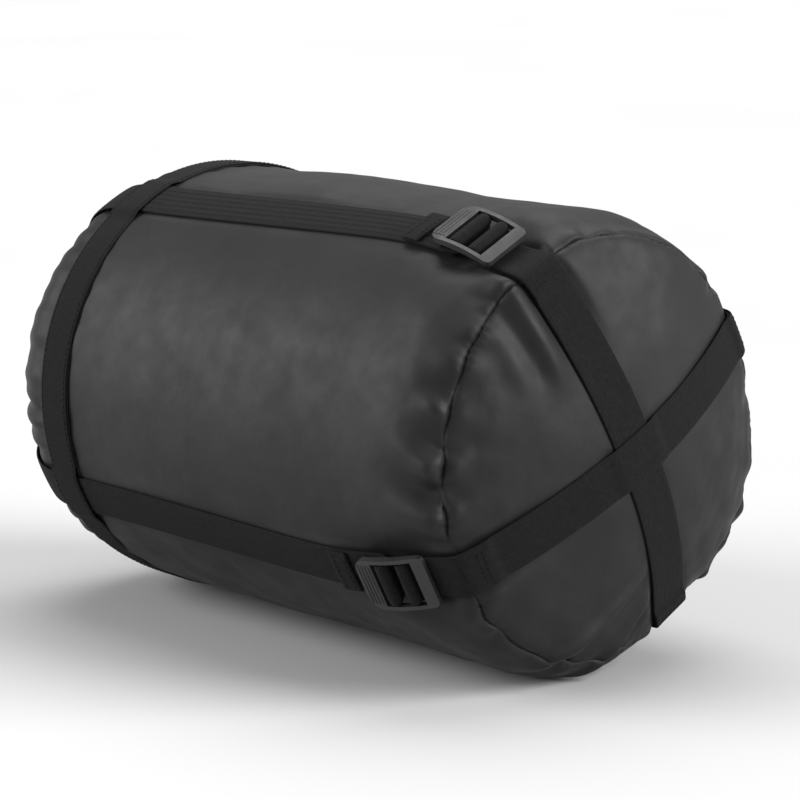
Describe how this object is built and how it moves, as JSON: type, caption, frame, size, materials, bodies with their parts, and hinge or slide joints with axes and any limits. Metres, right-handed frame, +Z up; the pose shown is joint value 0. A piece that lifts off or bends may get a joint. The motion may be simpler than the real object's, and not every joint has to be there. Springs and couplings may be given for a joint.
{
  "type": "compression sack",
  "caption": "Stuffed cylindrical nylon compression sack lying on its side, with a strapped lid, crossed base webbing and ladder-lock buckles.",
  "frame": {"origin": "centre of the flat rest face on the floor, under the middle of the tube", "axes": "+X along the sack from the lid to the base, +Z up, the front faces -Y"},
  "size_m": [0.4137, 0.2612, 0.2546],
  "materials": {
    "nylon": "coated plain-weave nylon with a soft sheen",
    "webbing": "ribbed matt webbing",
    "plastic": "satin moulded acetal",
    "cord": "braided",
    "eyelet": "blackened",
    "spring": "plain wire",
    "load": "soft packed contents"
  },
  "bodies": {
    "sack": {"sack_tube": "nylon", "base_panel": "nylon", "packed_load": "load", "base_strap_a": "webbing", "base_strap_b": "webbing"},
    "mouth_end": {"gathered_mouth": "nylon", "cord_channel": "nylon", "eyelet": "eyelet", "drawcord": "cord"},
    "lid": {"lid_panel": "nylon", "ring_band": "webbing", "lid_strap_a": "webbing", "lid_strap_b": "webbing", "strap_run_top": "webbing", "strap_run_front": "webbing", "strap_run_bottom": "webbing", "strap_run_back": "webbing", "strap_tail_top": "webbing", "strap_tail_front": "webbing", "strap_tail_bottom": "webbing", "strap_tail_back": "webbing"},
    "cord_lock": {"cord_lock_barrel": "plastic", "cord_lock_spring": "spring"},
    "cord_lock_button": {"cord_lock_plunger": "plastic"},
    "buckle_top": {"ladder_lock_top": "plastic", "adjusting_turn_top": "webbing", "base_loop_top": "webbing"},
    "buckle_front": {"ladder_lock_front": "plastic", "adjusting_turn_front": "webbing", "base_loop_front": "webbing"},
    "buckle_bottom": {"ladder_lock_bottom": "plastic", "adjusting_turn_bottom": "webbing", "base_loop_bottom": "webbing"},
    "buckle_back": {"ladder_lock_back": "plastic", "adjusting_turn_back": "webbing", "base_loop_back": "webbing"}
  },
  "joints": [
    {"name": "compress", "type": "slide", "parent": "sack", "child": "mouth_end", "axis": [1, 0, 0], "range_m": [0, 0.1], "stiffness_N_per_m": 600, "deforming": ["sack_tube", "packed_load", "strap_run_top", "strap_run_front", "strap_run_bottom", "strap_run_back", "strap_tail_top", "strap_tail_front", "strap_tail_bottom", "strap_tail_back"]},
    {"name": "lid_lift", "type": "slide", "parent": "mouth_end", "child": "lid", "axis": [-1, 0, 0], "range_m": [0, 0.12]},
    {"name": "cord_lock_slide", "type": "slide", "parent": "mouth_end", "child": "cord_lock", "axis": [1, 0, 0], "range_m": [0, 0.0022]},
    {"name": "plunger_press", "type": "slide", "parent": "cord_lock", "child": "cord_lock_button", "axis": [0, 0, -1], "range_m": [0, 0.0035], "stiffness_N_per_m": 600, "springref_m": -0.002, "deforming": ["cord_lock_spring"]},
    {"name": "buckle_top_lift", "type": "hinge", "parent": "sack", "child": "buckle_top", "pos_m": [0.13419, -0.05394, 0.22987], "axis": [0, 0.891, 0.454], "range_deg": [0, 50], "stiffness_Nm_per_rad": 0.1, "springref_deg": -17.19},
    {"name": "buckle_front_lift", "type": "hinge", "parent": "sack", "child": "buckle_front", "pos_m": [0.13419, -0.10491, 0.06822], "axis": [0, -0.4695, 0.8829], "range_deg": [0, 50], "stiffness_Nm_per_rad": 0.1, "springref_deg": -17.19},
    {"name": "buckle_bottom_lift", "type": "hinge", "parent": "sack", "child": "buckle_bottom", "pos_m": [0.12019, 0.06539, 0.02135], "axis": [0, -0.8434, -0.5373], "range_deg": [0, 50], "stiffness_Nm_per_rad": 0.1, "springref_deg": -17.19},
    {"name": "buckle_back_lift", "type": "hinge", "parent": "sack", "child": "buckle_back", "pos_m": [0.13419, 0.10491, 0.17978], "axis": [0, 0.4695, -0.8829], "range_deg": [0, 50], "stiffness_Nm_per_rad": 0.1, "springref_deg": -17.19}
  ]
}
